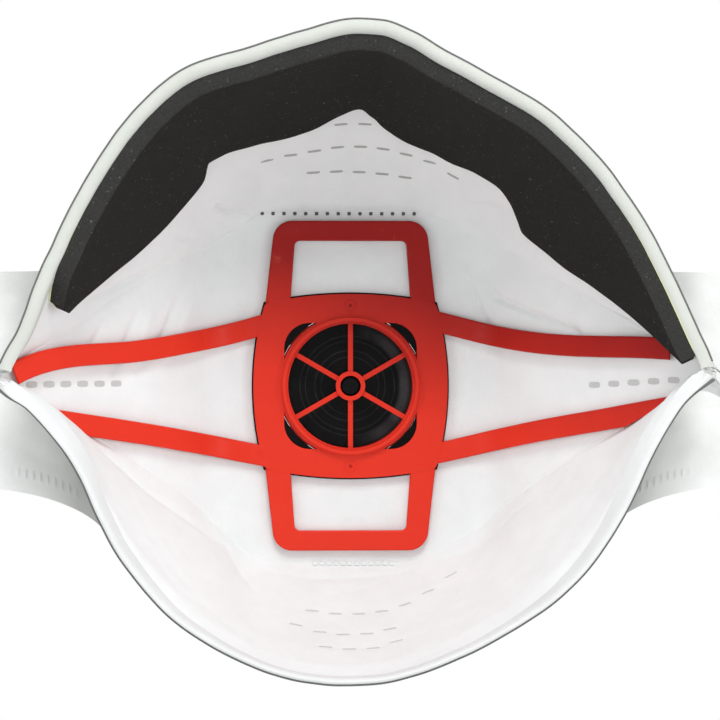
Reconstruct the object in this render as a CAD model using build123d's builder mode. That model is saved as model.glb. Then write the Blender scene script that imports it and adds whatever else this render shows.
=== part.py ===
"""Three-panel disposable dust mask with an exhalation valve, opened for wearing.

Millimetres. +Z is up, the wearer's face is towards -Y and the valve points along +Y. The origin is the
middle of the face opening, halfway between the two side welds where the upper and the lower rim meet.
"""

import math
import os

from build123d import *

# Face opening and front of the mask
PINCH_X = 70.0  # half width between the side welds
FRONT_Y = 48.0  # from the face opening to the inner face of the flat front
BEND_X = 28.0  # where the flat front would meet the flank, were it not rounded
BEND_R = 15.0
FLANK = math.atan2(FRONT_Y, PINCH_X - BEND_X)  # how far the flank turns away from the front
PANEL_X = 67.0  # the panels are cut here, just short of the side welds
BULGE = 5.0  # how far the upper and lower panels crown outwards

# Height of each edge over the middle, and the two powers that shape its fall to the side weld
UPPER_RIM = (67.6, 2.1, 0.82)
LOWER_RIM = (-58.5, 2.9, 1.58)
UPPER_SEAM = (34.8, 2.3, 1.2)
LOWER_SEAM = (-40.8, 2.0, 1.2)
SEAM_GAP = 0.15
STATIONS = 17  # cross-sections of a lofted panel, closer together towards the side welds
SPREAD = [math.sin(0.4 * math.pi * (2 * i / (STATIONS - 1) - 1)) for i in range(STATIONS)]
PLACES = [PANEL_X * step / SPREAD[-1] for step in SPREAD]

# Layers, as distances out from the inner face of the lining
LINING = (0.0, 0.35)
FILTER = (0.45, 1.35)
COVER = (1.45, 1.85)

# Edge bands
BAND_Y = (-0.7, -0.1)
BAND_OUT = 2.3
BAND_IN = 0.4

# Nose parts, as shares of the panel's depth from seam (0) to rim (1)
FOAM_LAYER = (-3.75, -0.5)
TAPE_LAYER = (-0.36, -0.26)
CLIP_LAYER = (1.95, 2.85)
FOAM_TOP = 0.93
TAPE_TOP = 0.95
CLIP_SHARES = (0.82, 0.9)
CLIP_X = 42.0
FOAM_X = 63.0

# Exhalation valve
VALVE_Z = -2.65
SEAT_Y = 50.9
NECK_R = 15.6
BORE_R = 13.35
LIP_R = 14.6
LIP_Y = 45.0
LIP_STEP = 1.2
GATE_Z = 17.2  # height of the moulding gates above and below the valve's axis
GATE_R = 1.4
GATE_DEPTH = 0.25
FABRIC_HOLE_R = 15.8
PLATE_Y = (46.2, 47.5)
PLATE_HALF = 20.8  # half width at mid height
PLATE_END = 18.3  # half width at the top and bottom
PLATE_TOP = 19.7
PLATE_SHOULDER = 17.7
PLATE_CORNER = 1.5
SPOKE_W = 1.05
SPOKE_Y = (47.0, 48.4)
HUB_R = 3.15
HUB_BORE_R = 2.2
HUB_Y = (46.4, 49.0)
WINDOW = (28.4, 27.0)
WINDOW_CORNER = 5.5
WINDOW_R = 15.25
GASKET_Y = (47.55, 47.95)
GASKET_EDGE = 0.35
DIAPHRAGM_R = 14.1
DIAPHRAGM_T = 0.6
BUTTON_R = 2.14
GROOVES = (10.5, 9.9, 6.0)  # radii of the fine grooves in the disc, from the outside in
GROOVE_W = 0.22
GROOVE_DEPTH = 0.15
FLANGE_R = 20.5
FLANGE_Y = (50.0, 51.3)
COLLAR_R = (18.3, 19.4)
COLLAR_Y = 53.2
CAP_R = 18.2
CAP_T = 1.2
CAP_Y = 58.6
CAP_ROUND = 2.2
LOUVRES = 12
LOUVRE_DEPTH = 4.0

# Arms and loops of the support frame
ARM_LAYER = (-1.75, -0.5)
ARM_W = 4.4
# Centre lines of the four arms in the front view; the left pair springs a little lower than the right
ARMS = (
    ((17.5, 11.4), (26.0, 9.2), (36.0, 6.9), (46.0, 5.8), (56.0, 5.5), (62.5, 5.1)),
    ((-17.5, 10.8), (-26.0, 8.4), (-36.0, 6.2), (-46.0, 4.5), (-57.0, 3.6), (-67.0, 0.2)),
    ((17.0, -17.4), (28.0, -14.9), (40.0, -11.7), (52.0, -9.0), (60.0, -7.1), (64.0, -6.2)),
    ((-17.0, -17.9), (-27.0, -15.9), (-40.0, -13.0), (-52.0, -10.6), (-60.5, -9.0)),
)
# Corners cut off the ends of the two lower arms, where the lower seam closes in on them
ARM_TRIMS = (
    ((52.0, -12.4), (66.0, -2.6), (66.0, -12.4)),
    ((-52.0, -13.6), (-62.0, -5.9), (-62.0, -13.6)),
)
LOOP_HALF = 16.2
LOOP_ROOT = 18.2
LOOP_R = 4.2
LOOP_BAND = 4.3
LOOP_OPENING = 13.0  # half width of the openings at the plate
LOOP_CORNER = 1.2
ARM_ROUND = 0.4
UPPER_LOOP_TOP = 32.7
LOWER_LOOP_END = -37.9

# Side wings and headbands
WING_T = 0.8
WING_ROOT = (60.0, 17.0)
WING_MID = (74.0, 15.2)
WING_TIP = (92.0, 16.6)
WING_Z = (-21.8, 20.6)
WING_CORNER = 3.0
STRAP_W = 7.0
STRAP_T = 0.9
STRAP_FRONT_Y = 50.6
STRAP_BEND_X = 26.0
STRAP_END = ((91.0, 18.0), (80.0, 17.7))
STRAP_BEND_R = 14.0
UPPER_STRAP_Z = (23.6, 14.0)
LOWER_STRAP_Z = (-29.6, -15.4)
STAPLE_X = 86.0
STAPLE_R = 0.3
STAPLE_CROWN = 5.0
STAPLE_Y = (14.6, 18.9)

os.makedirs("parts", exist_ok=True)


def save(part, name):
    part.label = name
    export_step(part, f"parts/{name}.step")


def facing(y):
    """The upright plane at y, seen from the face side."""
    return Plane(origin=(0, y, 0), x_dir=(1, 0, 0), z_dir=(0, -1, 0))


def valve_plane(y):
    """The upright plane at y, centred on the valve's axis."""
    return Plane(origin=(0, y, VALVE_Z), x_dir=(1, 0, 0), z_dir=(0, -1, 0))


def edge_z(edge, x):
    """Height of a rim or seam at x."""
    height, inner_power, outer_power = edge
    share = min(abs(x) / PINCH_X, 1.0)
    return height * (1 - share**inner_power) ** outer_power


def plan_corners(layer):
    """Corners, from left to right, of the front's plan curve at a distance out from the lining."""
    corner_x = BEND_X + layer * math.tan(FLANK / 2)
    end_x = PINCH_X + 4.0
    end_y = -4.0 * math.tan(FLANK) + layer / math.cos(FLANK)
    return [(-end_x, end_y), (-corner_x, FRONT_Y + layer), (corner_x, FRONT_Y + layer), (end_x, end_y)]


def plan_y(x, layer):
    """Depth of the plan curve at x, at a distance out from the lining."""
    radius = BEND_R + layer
    tangent = radius * math.tan(FLANK / 2)
    bend_start = BEND_X + layer * math.tan(FLANK / 2) - tangent
    bend_end = bend_start + tangent + tangent * math.cos(FLANK)
    if abs(x) <= bend_start:
        return FRONT_Y + layer
    if abs(x) <= bend_end:
        return FRONT_Y + layer - radius + math.sqrt(radius**2 - (abs(x) - bend_start) ** 2)
    return FRONT_Y + layer - tangent * math.sin(FLANK) - (abs(x) - bend_end) * math.tan(FLANK)


def panel_control(x, rim, seam, layer):
    """The three control points (Y, Z) of the panel's cross-section curve at x, from seam to rim."""
    side = 1 if rim[0] > 0 else -1
    lean = 0.3 if side > 0 else 0.5
    start = Vector(plan_y(x, layer), edge_z(seam, x) + side * (SEAM_GAP + lean * layer))
    end = Vector(0, edge_z(rim, x) + side * layer)
    crown = BULGE * (1 - (x / PINCH_X) ** 2)
    middle = (start + end) / 2 + Vector(0.6, 0.8 * side) * 2 * crown
    return start, middle, end


def curve_part(controls, low, high):
    """Control points of the stretch of a three-point curve between two shares of its length."""

    def blossom(a, b):
        first, middle, last = controls
        return first * ((1 - a) * (1 - b)) + middle * ((1 - a) * b + a * (1 - b)) + last * (a * b)

    return blossom(low, low), blossom(low, high), blossom(high, high)


def panel_strip(rim, seam, layers, half_width, low_share, high_share):
    """A strip of an upper or lower panel: lofted through upright cross-sections from left to right."""
    with BuildPart() as strip:
        for x in [place for place in PLACES if abs(place) <= half_width]:
            inner = curve_part(panel_control(x, rim, seam, layers[0]), low_share(x), high_share)
            outer = curve_part(panel_control(x, rim, seam, layers[1]), low_share(x), high_share)
            with BuildSketch(Plane(origin=(x, 0, 0), x_dir=(0, 1, 0), z_dir=(1, 0, 0))):
                with BuildLine():
                    Bezier(*inner)
                    Line(inner[2], outer[2])
                    Bezier(*reversed(outer))
                    Line(outer[0], inner[0])
                make_face()
        loft()
    return strip.part


def front_layer(layers):
    """A layer of the centre panel: along the plan curve from seam to seam, with the hole for the valve."""
    seam_xs = [PANEL_X * (2 * i / (STATIONS - 1) - 1) for i in range(STATIONS)]
    with BuildPart() as layer:
        with BuildSketch(Plane.XY.offset(LOWER_SEAM[0] - 5)):
            with BuildLine():
                inner = FilletPolyline(*plan_corners(layers[0]), radius=BEND_R + layers[0])
                outer = FilletPolyline(*plan_corners(layers[1]), radius=BEND_R + layers[1])
                Line(inner @ 0, outer @ 0)
                Line(inner @ 1, outer @ 1)
            make_face()
        extrude(amount=UPPER_SEAM[0] - LOWER_SEAM[0] + 10)
        with BuildSketch(facing(FRONT_Y + 10)):
            with BuildLine():
                top = Spline(*[(x, edge_z(UPPER_SEAM, x)) for x in seam_xs])
                bottom = Spline(*[(x, edge_z(LOWER_SEAM, x)) for x in seam_xs])
                Line(top @ 0, bottom @ 0)
                Line(top @ 1, bottom @ 1)
            make_face()
        extrude(amount=FRONT_Y + 20, mode=Mode.INTERSECT)
        with BuildSketch(valve_plane(FRONT_Y + 10)):
            Circle(FABRIC_HOLE_R)
        extrude(amount=20, mode=Mode.SUBTRACT)
    return layer.part


def rim_band(rim):
    """The narrow bonded band that covers the cut edge of a rim, standing on the face side of the laminate."""
    side = 1 if rim[0] > 0 else -1
    band_xs = [(PANEL_X - 1) * math.sin(math.pi / 2 * (2 * i / (STATIONS - 1) - 1)) for i in range(STATIONS)]
    with BuildPart() as band:
        with BuildSketch(facing(BAND_Y[1])):
            with BuildLine():
                outer = Spline(*[(x, edge_z(rim, x) + side * BAND_OUT) for x in band_xs])
                inner = Spline(*[(x, edge_z(rim, x) - side * BAND_IN) for x in band_xs])
                Line(outer @ 0, inner @ 0)
                Line(outer @ 1, inner @ 1)
            make_face()
        extrude(amount=BAND_Y[1] - BAND_Y[0])
    return band.part


def arm_edge(centre, half_width):
    """Points of one edge of an arm, half the arm's width to one side of its centre line."""
    edge = []
    for i, point in enumerate(centre):
        before = Vector(*centre[max(i - 1, 0)])
        after = Vector(*centre[min(i + 1, len(centre) - 1)])
        along = (after - before).normalized()
        edge.append(Vector(*point) + Vector(-along.Y, along.X) * half_width)
    return edge


# Three fabric layers in each of the three panels
for layer_name, layers in (("inner_lining", LINING), ("filter_media", FILTER), ("outer_cover", COVER)):
    save(front_layer(layers), f"centre_{layer_name}")
    for panel_name, rim, seam in (("upper", UPPER_RIM, UPPER_SEAM), ("lower", LOWER_RIM, LOWER_SEAM)):
        save(panel_strip(rim, seam, layers, PANEL_X, lambda x: 0.0, 1.0), f"{panel_name}_{layer_name}")

for panel_name, rim in (("upper", UPPER_RIM), ("lower", LOWER_RIM)):
    save(rim_band(rim), f"{panel_name}_rim_band")


# Nose foam, its adhesive tape and the nose clip
def foam_edge(x):
    """Share of the panel's depth where the foam begins: nearest the seam beside the nose notch."""
    notch = 0.07 * math.exp(-((x / 9.0) ** 2))
    return 0.5 + notch + 0.2 * (x / FOAM_X) ** 2


save(panel_strip(UPPER_RIM, UPPER_SEAM, FOAM_LAYER, FOAM_X, foam_edge, FOAM_TOP), "nose_foam")
save(panel_strip(UPPER_RIM, UPPER_SEAM, TAPE_LAYER, FOAM_X, foam_edge, TAPE_TOP), "foam_adhesive_tape")
save(
    panel_strip(UPPER_RIM, UPPER_SEAM, CLIP_LAYER, CLIP_X, lambda x: CLIP_SHARES[0], CLIP_SHARES[1]),
    "nose_clip",
)

# Support frame: loops and arms as one thin band that follows the inside of the lining
with BuildPart() as support_frame:
    with BuildSketch(facing(FRONT_Y + 5)):
        for end_z, plate_edge in ((UPPER_LOOP_TOP, PLATE_SHOULDER), (LOWER_LOOP_END, -PLATE_SHOULDER)):
            root_z = VALVE_Z + plate_edge
            with BuildLine():
                Polyline(
                    (-LOOP_ROOT, root_z),
                    (-LOOP_HALF, end_z),
                    (LOOP_HALF, end_z),
                    (LOOP_ROOT, root_z),
                    close=True,
                )
            make_face()
        fillet(vertices().group_by(Axis.Y)[0] + vertices().group_by(Axis.Y)[-1], LOOP_R)
        for end_z, plate_edge in ((UPPER_LOOP_TOP, PLATE_SHOULDER), (LOWER_LOOP_END, -PLATE_SHOULDER)):
            inward = -1 if end_z > 0 else 1
            inner_half = LOOP_HALF - LOOP_BAND
            with BuildLine():
                FilletPolyline(
                    (-LOOP_OPENING, VALVE_Z + plate_edge * 0.9),
                    (-inner_half, end_z + inward * LOOP_BAND),
                    (inner_half, end_z + inward * LOOP_BAND),
                    (LOOP_OPENING, VALVE_Z + plate_edge * 0.9),
                    radius=LOOP_CORNER,
                    close=True,
                )
            make_face(mode=Mode.SUBTRACT)
        for centre in ARMS:
            with BuildLine():
                top = Spline(*arm_edge(centre, ARM_W / 2))
                bottom = Spline(*arm_edge(centre, -ARM_W / 2))
                Line(top @ 0, bottom @ 0)
                Line(top @ 1, bottom @ 1)
            make_face()
    extrude(amount=FRONT_Y + 10)
    with BuildSketch(Plane.XY.offset(LOWER_LOOP_END - 1)):
        with BuildLine():
            inner = FilletPolyline(*plan_corners(ARM_LAYER[0]), radius=BEND_R + ARM_LAYER[0])
            outer = FilletPolyline(*plan_corners(ARM_LAYER[1]), radius=BEND_R + ARM_LAYER[1])
            Line(inner @ 0, outer @ 0)
            Line(inner @ 1, outer @ 1)
        make_face()
    extrude(amount=UPPER_LOOP_TOP - LOWER_LOOP_END + 2, mode=Mode.INTERSECT)
    facing_edges = faces().filter_by(lambda face: face.normal_at().Y < -0.3).edges()
    outline_edges = [edge for edge in facing_edges if sum(edge.is_same(other) for other in facing_edges) == 1]
    fillet(outline_edges, ARM_ROUND)
    with BuildSketch(facing(FRONT_Y)):
        for trim in ARM_TRIMS:
            with BuildLine():
                Polyline(*trim, close=True)
            make_face()
    extrude(amount=FRONT_Y, mode=Mode.SUBTRACT)
    # Plate with bowed sides, the neck through the fabric and the lip round the valve opening
    with BuildSketch(valve_plane(PLATE_Y[1])):
        with BuildLine():
            ThreePointArc((-PLATE_END, PLATE_SHOULDER), (0, PLATE_TOP), (PLATE_END, PLATE_SHOULDER))
            ThreePointArc((PLATE_END, PLATE_SHOULDER), (PLATE_HALF, 0), (PLATE_END, -PLATE_SHOULDER))
            ThreePointArc((PLATE_END, -PLATE_SHOULDER), (0, -PLATE_TOP), (-PLATE_END, -PLATE_SHOULDER))
            ThreePointArc((-PLATE_END, -PLATE_SHOULDER), (-PLATE_HALF, 0), (-PLATE_END, PLATE_SHOULDER))
        make_face()
        fillet(vertices(), PLATE_CORNER)
    extrude(amount=PLATE_Y[1] - PLATE_Y[0])
    with BuildSketch(valve_plane(PLATE_Y[0])):
        Circle(LIP_R)
    extrude(amount=PLATE_Y[0] - LIP_Y)
    with BuildSketch(valve_plane(SEAT_Y)):
        Circle(NECK_R)
    extrude(amount=SEAT_Y - PLATE_Y[0])
    # Four corner windows outside the lip, through the plate only
    with BuildSketch(valve_plane(PLATE_Y[1] + 0.6)):
        RectangleRounded(WINDOW[0], WINDOW[1], WINDOW_CORNER)
        Circle(WINDOW_R, mode=Mode.SUBTRACT)
    extrude(amount=4, mode=Mode.SUBTRACT)
    with BuildSketch(valve_plane(SEAT_Y + 1)):
        Circle(BORE_R)
    extrude(amount=SEAT_Y - LIP_Y + 2, mode=Mode.SUBTRACT)
    with BuildSketch(valve_plane(LIP_Y + LIP_STEP)):
        Circle(BORE_R + 0.5)
    extrude(amount=LIP_STEP + 1, mode=Mode.SUBTRACT)
    # Moulding gates: a shallow dimple with a pinhole above and below the lip
    with BuildSketch(valve_plane(PLATE_Y[0] + GATE_DEPTH)):
        with Locations((0, GATE_Z), (0, -GATE_Z)):
            Circle(GATE_R)
    extrude(amount=1, mode=Mode.SUBTRACT)
    with BuildSketch(valve_plane(PLATE_Y[0] + 3 * GATE_DEPTH)):
        with Locations((0, GATE_Z), (0, -GATE_Z)):
            Circle(GATE_R / 4)
    extrude(amount=1, mode=Mode.SUBTRACT)
    # Six spokes and the hub that guides the diaphragm's button
    with BuildSketch(valve_plane(SPOKE_Y[1])):
        with PolarLocations(BORE_R / 2 + 0.5, 6, start_angle=30):
            Rectangle(BORE_R - 0.5, SPOKE_W)
    extrude(amount=SPOKE_Y[1] - SPOKE_Y[0])
    with BuildSketch(valve_plane(HUB_Y[1])):
        Circle(HUB_R)
    extrude(amount=HUB_Y[1] - HUB_Y[0])
    with BuildSketch(valve_plane(HUB_Y[1] + 1)):
        Circle(HUB_BORE_R)
    extrude(amount=HUB_Y[1] - HUB_Y[0] + 2, mode=Mode.SUBTRACT)
save(support_frame.part, "support_frame")

with BuildPart() as valve_gasket:
    with BuildSketch(valve_plane(GASKET_Y[1])):
        with BuildLine():
            ThreePointArc((-PLATE_END, PLATE_SHOULDER), (0, PLATE_TOP), (PLATE_END, PLATE_SHOULDER))
            ThreePointArc((PLATE_END, PLATE_SHOULDER), (PLATE_HALF, 0), (PLATE_END, -PLATE_SHOULDER))
            ThreePointArc((PLATE_END, -PLATE_SHOULDER), (0, -PLATE_TOP), (-PLATE_END, -PLATE_SHOULDER))
            ThreePointArc((-PLATE_END, -PLATE_SHOULDER), (-PLATE_HALF, 0), (-PLATE_END, PLATE_SHOULDER))
        make_face()
        offset(amount=GASKET_EDGE)
        Circle(NECK_R + 0.05, mode=Mode.SUBTRACT)
    extrude(amount=GASKET_Y[1] - GASKET_Y[0])
save(valve_gasket.part, "valve_gasket")

# Rubber disc over the seat, with the button that slides in the hub
with BuildPart() as exhalation_diaphragm:
    with BuildSketch(valve_plane(SEAT_Y + 0.05 + DIAPHRAGM_T)):
        Circle(DIAPHRAGM_R)
    extrude(amount=DIAPHRAGM_T)
    with BuildSketch(valve_plane(SEAT_Y + 0.1)):
        Circle(BUTTON_R)
    extrude(amount=SEAT_Y - HUB_Y[0] - 0.7)
    fillet(edges().filter_by(GeomType.CIRCLE).sort_by(Axis.Y)[0], 0.5)
    with BuildSketch(valve_plane(SEAT_Y + 0.05 + GROOVE_DEPTH)):
        for groove_r in GROOVES:
            Circle(groove_r + GROOVE_W / 2)
            Circle(groove_r - GROOVE_W / 2, mode=Mode.SUBTRACT)
    extrude(amount=1, mode=Mode.SUBTRACT)
save(exhalation_diaphragm.part, "exhalation_diaphragm")

with BuildPart() as valve_base:
    with BuildSketch(valve_plane(FLANGE_Y[1])):
        Circle(FLANGE_R)
        Circle(FABRIC_HOLE_R, mode=Mode.SUBTRACT)
    extrude(amount=FLANGE_Y[1] - FLANGE_Y[0])
    with BuildSketch(valve_plane(COLLAR_Y)):
        Circle(COLLAR_R[1])
        Circle(COLLAR_R[0], mode=Mode.SUBTRACT)
    extrude(amount=COLLAR_Y - FLANGE_Y[1])
save(valve_base.part, "valve_base")

# Cap inside the collar, with louvres through its face, shoulder and wall
with BuildPart() as valve_cover:
    with BuildSketch(valve_plane(CAP_Y)):
        Circle(CAP_R)
    extrude(amount=CAP_Y - FLANGE_Y[1] - 0.1)
    fillet(edges().filter_by(GeomType.CIRCLE).sort_by(Axis.Y)[-1], CAP_ROUND)
    with BuildSketch(valve_plane(CAP_Y - CAP_T)):
        Circle(CAP_R - CAP_T)
    extrude(amount=CAP_Y - FLANGE_Y[1], mode=Mode.SUBTRACT)
    with BuildSketch(valve_plane(CAP_Y + 1)):
        with PolarLocations(CAP_R - 3.5, LOUVRES):
            SlotOverall(12.0, 2.6)
    extrude(amount=LOUVRE_DEPTH + 1, mode=Mode.SUBTRACT)
save(valve_cover.part, "valve_cover")


# Side wings: flat tabs that stand out behind the side welds
def staple_holes():
    """Centres, in the front view of the right wing, of the four staple legs."""
    return [(STAPLE_X, z + leg) for z in (UPPER_STRAP_Z[1], LOWER_STRAP_Z[1]) for leg in (-2.5, 2.5)]


for wing_name, side in (("right", 1), ("left", -1)):
    with BuildPart() as side_wing:
        with BuildSketch(Plane.XY.offset(WING_Z[0] - 1)):
            with BuildLine():
                inner = ThreePointArc(
                    (side * WING_ROOT[0], WING_ROOT[1] - WING_T / 2),
                    (side * WING_MID[0], WING_MID[1] - WING_T / 2),
                    (side * WING_TIP[0], WING_TIP[1] - WING_T / 2),
                )
                outer = ThreePointArc(
                    (side * WING_ROOT[0], WING_ROOT[1] + WING_T / 2),
                    (side * WING_MID[0], WING_MID[1] + WING_T / 2),
                    (side * WING_TIP[0], WING_TIP[1] + WING_T / 2),
                )
                Line(inner @ 0, outer @ 0)
                Line(inner @ 1, outer @ 1)
            make_face()
        extrude(amount=WING_Z[1] - WING_Z[0] + 2)
        with BuildSketch(facing(30)):
            with Locations((side * (WING_ROOT[0] + WING_TIP[0]) / 2, (WING_Z[0] + WING_Z[1]) / 2)):
                RectangleRounded(WING_TIP[0] - WING_ROOT[0], WING_Z[1] - WING_Z[0], WING_CORNER)
        extrude(amount=30, mode=Mode.INTERSECT)
        with BuildSketch(facing(30)):
            with Locations(*[(side * x, z) for x, z in staple_holes()]):
                Circle(STAPLE_R + 0.15)
        extrude(amount=30, mode=Mode.SUBTRACT)
    save(side_wing.part, f"{wing_name}_side_wing")

    # Wire staples: a crown over the headband, two legs through band and wing, and clinched ends behind
    with BuildPart() as staples:
        for strap_z in (UPPER_STRAP_Z[1], LOWER_STRAP_Z[1]):
            half = STAPLE_CROWN / 2
            upright = Plane(origin=(side * STAPLE_X, 0, strap_z), x_dir=(0, 1, 0), z_dir=(1, 0, 0))
            with BuildLine(upright) as wire:
                FilletPolyline(
                    (STAPLE_Y[0], -half + 1.9),
                    (STAPLE_Y[0], -half),
                    (STAPLE_Y[1], -half),
                    (STAPLE_Y[1], half),
                    (STAPLE_Y[0], half),
                    (STAPLE_Y[0], half - 1.9),
                    radius=0.6,
                )
            with BuildSketch(Plane(origin=wire.line @ 0, z_dir=wire.line % 0)):
                Circle(STAPLE_R)
            sweep(path=wire.line)
    save(staples.part, f"{wing_name}_strap_staples")


# Elastic headbands, flat webbing laid over the front of the mask from wing to wing
def headband(heights):
    """A band from wing to wing: high or low over the front and nearer mid height on the wings."""
    middle_z, end_z = heights
    end_x = STRAP_END[0][0]
    wing_x = 0.8 * end_x
    with BuildPart() as band:
        with BuildSketch(Plane.XY.offset(-50)):
            corners = [STRAP_END[0], STRAP_END[1], (STRAP_BEND_X, STRAP_FRONT_Y)]
            route = [(-x, y) for x, y in corners] + [(x, y) for x, y in reversed(corners)]
            with BuildLine():
                inner = FilletPolyline(*[(x, y - STRAP_T / 2) for x, y in route], radius=STRAP_BEND_R)
                outer = FilletPolyline(*[(x, y + STRAP_T / 2) for x, y in route], radius=STRAP_BEND_R)
                Line(inner @ 0, outer @ 0)
                Line(inner @ 1, outer @ 1)
            make_face()
        extrude(amount=100)
        with BuildSketch(facing(FRONT_Y + 10)):
            centre = [(-end_x, end_z), (-wing_x, end_z), (0, middle_z), (wing_x, end_z), (end_x, end_z)]
            with BuildLine():
                top = Spline(*[(x, z + STRAP_W / 2) for x, z in centre])
                bottom = Spline(*[(x, z - STRAP_W / 2) for x, z in centre])
                Line(top @ 0, bottom @ 0)
                Line(top @ 1, bottom @ 1)
            make_face()
        extrude(amount=FRONT_Y + 10, mode=Mode.INTERSECT)
        with BuildSketch(facing(FRONT_Y)):
            with Locations(*[(side * STAPLE_X, end_z + leg) for side in (1, -1) for leg in (-2.5, 2.5)]):
                Circle(STAPLE_R + 0.15)
        extrude(amount=FRONT_Y, mode=Mode.SUBTRACT)
    return band.part


save(headband(UPPER_STRAP_Z), "upper_headband")
save(headband(LOWER_STRAP_Z), "lower_headband")
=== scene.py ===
"""Look of a three-panel disposable dust mask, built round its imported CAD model.

Shapes are worked out in millimetres in the CAD model's frame: +Z up, the face opening towards -Y and the
valve towards +Y. add_piece() turns them into metres. Layers are distances out from the inner face of the
lining, so a negative layer lies on the wearer's side. A share runs across a panel, from 0 at its seam to 1
at its rim, and in the centre panel from the lower seam to the upper one.
"""

import math

import bpy
import numpy as np
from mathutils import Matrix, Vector


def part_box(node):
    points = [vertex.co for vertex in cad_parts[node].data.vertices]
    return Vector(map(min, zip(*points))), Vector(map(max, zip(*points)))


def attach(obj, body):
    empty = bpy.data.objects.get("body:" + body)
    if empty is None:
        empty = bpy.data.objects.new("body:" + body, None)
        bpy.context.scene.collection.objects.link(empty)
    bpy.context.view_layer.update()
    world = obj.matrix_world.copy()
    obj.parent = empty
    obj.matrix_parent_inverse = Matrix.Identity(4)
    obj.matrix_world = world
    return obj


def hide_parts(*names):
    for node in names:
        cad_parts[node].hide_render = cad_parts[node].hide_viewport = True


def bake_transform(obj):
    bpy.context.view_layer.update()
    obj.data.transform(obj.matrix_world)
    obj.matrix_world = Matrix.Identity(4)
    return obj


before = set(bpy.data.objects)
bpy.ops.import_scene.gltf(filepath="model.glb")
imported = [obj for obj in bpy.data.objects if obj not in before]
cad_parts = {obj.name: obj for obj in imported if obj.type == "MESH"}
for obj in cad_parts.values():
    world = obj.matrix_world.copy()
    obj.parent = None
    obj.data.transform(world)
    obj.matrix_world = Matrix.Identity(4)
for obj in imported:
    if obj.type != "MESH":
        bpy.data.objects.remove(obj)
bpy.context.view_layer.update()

MM = 0.001


def box_mm(node):
    """Lowest and highest corner of a CAD node, in millimetres."""
    return [np.array(corner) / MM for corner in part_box(node)]


# ---------------------------------------------------------------- sizes

LINING = (0.0, 0.35)
FILTER = (0.45, 1.35)
COVER = (1.45, 1.85)
SHELL = 2.2  # the rim outlines below are those of the whole rolled edge, this far out

PINCH_X = 70.0
PANEL_X = 69.3
FRONT_Y = box_mm("centre_inner_lining")[1][1] - LINING[1]
BEND_X = 28.0
BEND_R = 15.0
FLANK = math.atan2(FRONT_Y, PINCH_X - BEND_X)
VALVE_CENTRE = sum(box_mm("valve_base")) / 2
FABRIC_HOLE_R = 15.8

# Outlines in the front view (x, z) and crown heights (x, mm), from the left side weld to the right one
UPPER_RIM = (
    (-70, -0.5), (-69.2, 2.5), (-66, 8.5), (-61.6, 20), (-59.3, 24.9), (-56.6, 30.9), (-52.7, 38.5),
    (-48.2, 45.5), (-43.8, 51.1), (-38.3, 56.4), (-32.3, 60.4), (-21.8, 63.7), (-11.7, 66.8), (0, 69.6),
    (4.9, 69.3), (10.8, 66.9), (15.8, 64), (25.6, 58.8), (32.7, 55), (37.2, 52), (43.1, 46.9),
    (48.8, 40.9), (53.3, 34.8), (58, 26.8), (61.6, 20), (66.5, 9), (69.4, 2.5), (70, -0.5),
)
LOWER_RIM = (
    (-70, 0.5), (-69.5, -2.5), (-64.3, -6.6), (-59.1, -12.4), (-54.8, -18.6), (-50.3, -28.5),
    (-45.9, -36.4), (-41.1, -42.6), (-35.8, -47.9), (-30.4, -51.8), (-24.2, -55.2), (-17, -58.2),
    (-10, -59.9), (-3.5, -60.5), (3, -60.3), (11.5, -58.5), (20.5, -55), (27.4, -51.5), (34.1, -47.6),
    (39, -44.1), (44.3, -39), (48, -34.2), (52.9, -26.1), (59, -13.6), (64, -5.6), (69.3, -0.6),
    (70, 0.5),
)
UPPER_SEAM = (
    (-70, 0), (-47, 16.3), (-32, 26.2), (-24, 31.2), (-17.5, 34.4), (0, 34.8), (16.5, 34.4), (22, 32),
    (30, 27.6), (46, 17.2), (70, 0),
)
LOWER_SEAM = (
    (-70, 0), (-54, -11.6), (-36, -25), (-28, -33), (-20.5, -39.4), (-8, -40.9), (8, -40.9), (16, -39),
    (28, -33), (36, -24.8), (54, -11.2), (70, 0),
)
# Share of an edge panel where its layers start to close up towards the rim, and the length of that stretch
PRESS_START = 0.82
PRESS_SPAN = 0.18
UPPER_CROWN = ((-70, 0), (-50, 2.5), (0, 5), (50, 2.5), (70, 0))
LOWER_CROWN = ((-70, 0), (-60, -2.5), (-48, 0.5), (0, 5), (48, 0.5), (60, -2.5), (70, 0))


# ---------------------------------------------------------------- curves and surfaces


def smooth_curve(points):
    """A smooth function through (x, value) points that never overshoots between them."""
    xs, values = np.array(points, float).T
    rise = np.diff(values) / np.diff(xs)
    slope = np.zeros_like(values)
    slope[0], slope[-1] = rise[0], rise[-1]
    before, after = rise[:-1], rise[1:]
    total = np.where(before * after > 0, before + after, 1.0)
    slope[1:-1] = np.where(before * after > 0, 2 * before * after / total, 0.0)

    def at(x):
        x = np.clip(x, xs[0], xs[-1])
        i = np.clip(np.searchsorted(xs, x, side="right") - 1, 0, len(xs) - 2)
        gap = xs[i + 1] - xs[i]
        t = (x - xs[i]) / gap
        ends = (2 * t**3 - 3 * t**2 + 1) * values[i] + (3 * t**2 - 2 * t**3) * values[i + 1]
        return ends + gap * ((t**3 - 2 * t**2 + t) * slope[i] + (t**3 - t**2) * slope[i + 1])

    return at


def smooth_path(points, count):
    """count places along a smooth curve through the points, evenly spaced by the points' own order."""
    points = np.array(points, float)
    order = np.arange(len(points))
    places = np.linspace(0, len(points) - 1, count)
    return np.stack([smooth_curve(np.column_stack((order, column)))(places) for column in points.T], axis=-1)


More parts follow.
